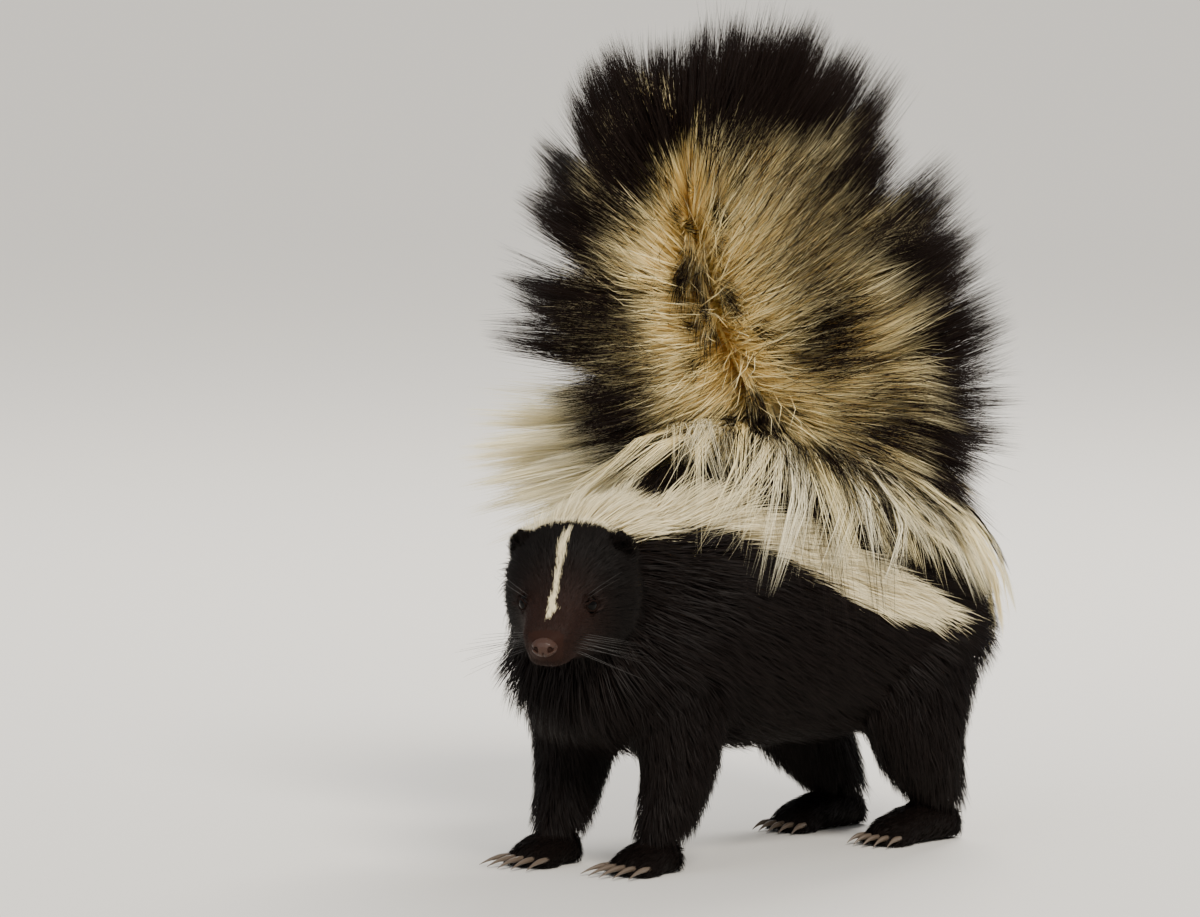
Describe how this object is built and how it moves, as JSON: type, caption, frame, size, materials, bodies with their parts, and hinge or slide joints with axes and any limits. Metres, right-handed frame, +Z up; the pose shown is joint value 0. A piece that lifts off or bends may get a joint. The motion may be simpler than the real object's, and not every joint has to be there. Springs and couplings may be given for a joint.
{
  "type": "striped skunk model",
  "caption": "Life-size model of a striped skunk standing with its head turned and its bushy tail raised.",
  "frame": {"origin": "Under the middle of the whole model's outline, on the floor that the soles stand on.", "axes": "+Z up; the trunk faces -Y; the animal's left is +X."},
  "size_m": [0.2124, 0.3242, 0.3688],
  "materials": {
    "body_fur": "near-black fur, with white nape and flank stripes",
    "face_fur": "short dark brown fur with a narrow white blaze",
    "tail_fur": "long cream fur with dark brown tips",
    "nose_pad": "moist brownish pink skin",
    "eye": "glossy near-black",
    "paw": "short dark fur with horn-coloured claws"
  },
  "bodies": {
    "root": {"head": "face_fur", "nose": "nose_pad", "ear_left": "face_fur", "ear_right": "face_fur", "eye_left": "eye", "eye_right": "eye", "neck": "body_fur", "chest": "body_fur", "hips": "body_fur", "foreleg_left": "body_fur", "foreleg_right": "body_fur", "forepaw_left": "paw", "forepaw_right": "paw", "hindleg_left": "body_fur", "hindleg_right": "body_fur", "hindpaw_left": "paw", "hindpaw_right": "paw", "tail_base": "tail_fur", "tail_middle": "tail_fur", "tail_tip": "tail_fur"}
  },
  "joints": []
}
